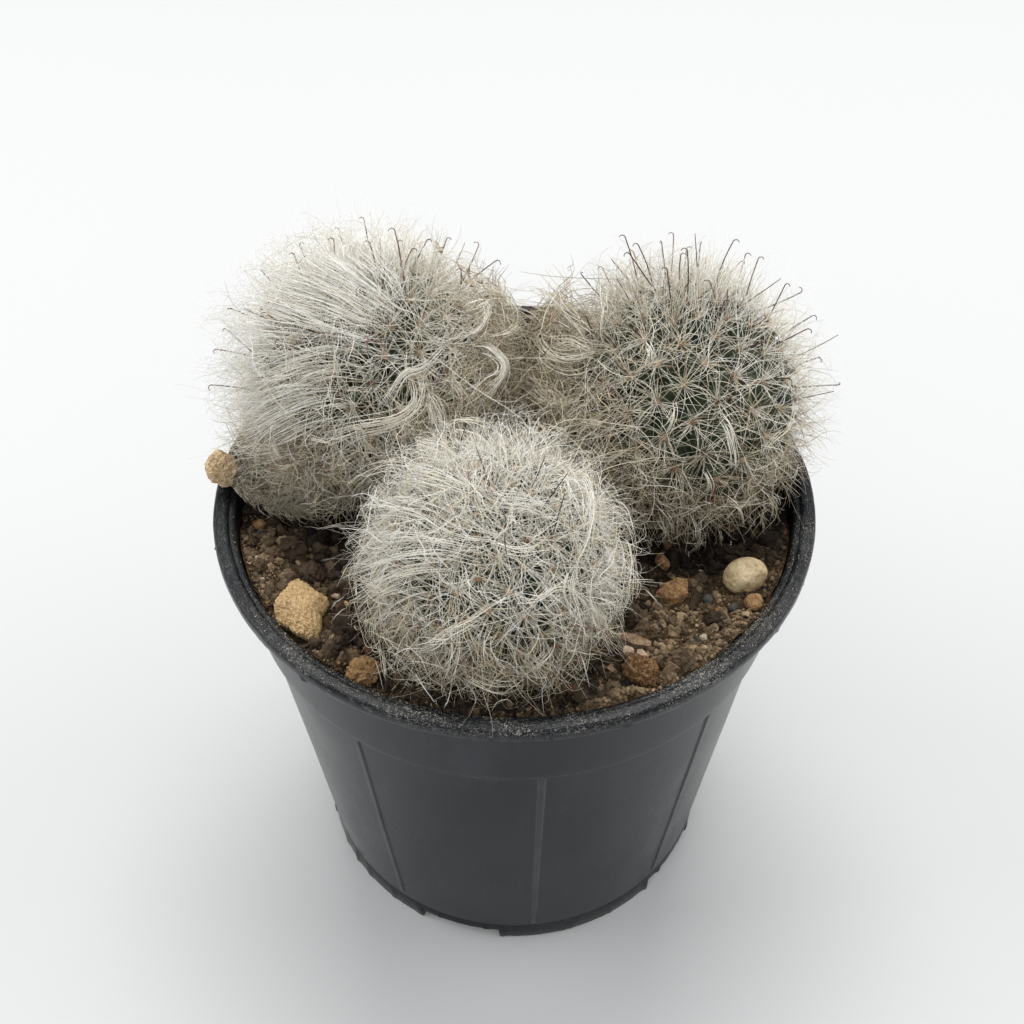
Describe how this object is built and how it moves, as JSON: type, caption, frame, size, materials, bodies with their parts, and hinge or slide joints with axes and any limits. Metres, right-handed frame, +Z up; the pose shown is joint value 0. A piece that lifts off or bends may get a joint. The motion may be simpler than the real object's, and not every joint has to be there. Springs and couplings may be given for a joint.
{
  "type": "potted old man cactus",
  "caption": "Woolly, hook-spined cactus globes under long white hair, growing together in a round black plastic nursery pot of gritty soil with loose stones.",
  "frame": {"origin": "on the pot's axis, in the plane its feet stand on", "axes": "+Z up along the pot's axis; -Y is the front, towards the smallest globe; +X is the right-hand side seen from the front"},
  "size_m": [0.1089, 0.105, 0.1265],
  "materials": {
    "pot_plastic": "thin moulded black plastic, satin, scuffed and dusty at the lip",
    "soil": "dry crumbly potting mix with mineral grit",
    "cactus": "green tubercled flesh under white hair-like spines and dark hooked spines",
    "tan_stone": "rough porous tan stone",
    "pale_stone": "smooth pale pebble with small pits",
    "brown_stone": "rough brown stone",
    "rusty_clod": "crumbly rust-coloured clod",
    "dark_clod": "dark brown soil clod",
    "grey_stone": "blue-grey grit",
    "bark": "dry bark chip"
  },
  "bodies": {
    "root": {"pot": "pot_plastic", "potting_soil": "soil", "cactus_head_left": "cactus", "cactus_head_right": "cactus", "cactus_head_front": "cactus", "rim_stone": "tan_stone", "large_tan_stone": "tan_stone", "round_pebble": "pale_stone", "white_grain": "pale_stone", "brown_angular_stone": "brown_stone", "small_brown_stone": "brown_stone", "orange_pebble": "brown_stone", "orange_clod": "rusty_clod", "rusty_clod": "rusty_clod", "dark_clod": "dark_clod", "dark_crumb": "dark_clod", "brown_crumb": "dark_clod", "shaded_stone": "brown_stone", "dark_grey_grain": "grey_stone", "blue_grey_grain": "grey_stone", "bark_chip": "bark"}
  },
  "joints": []
}
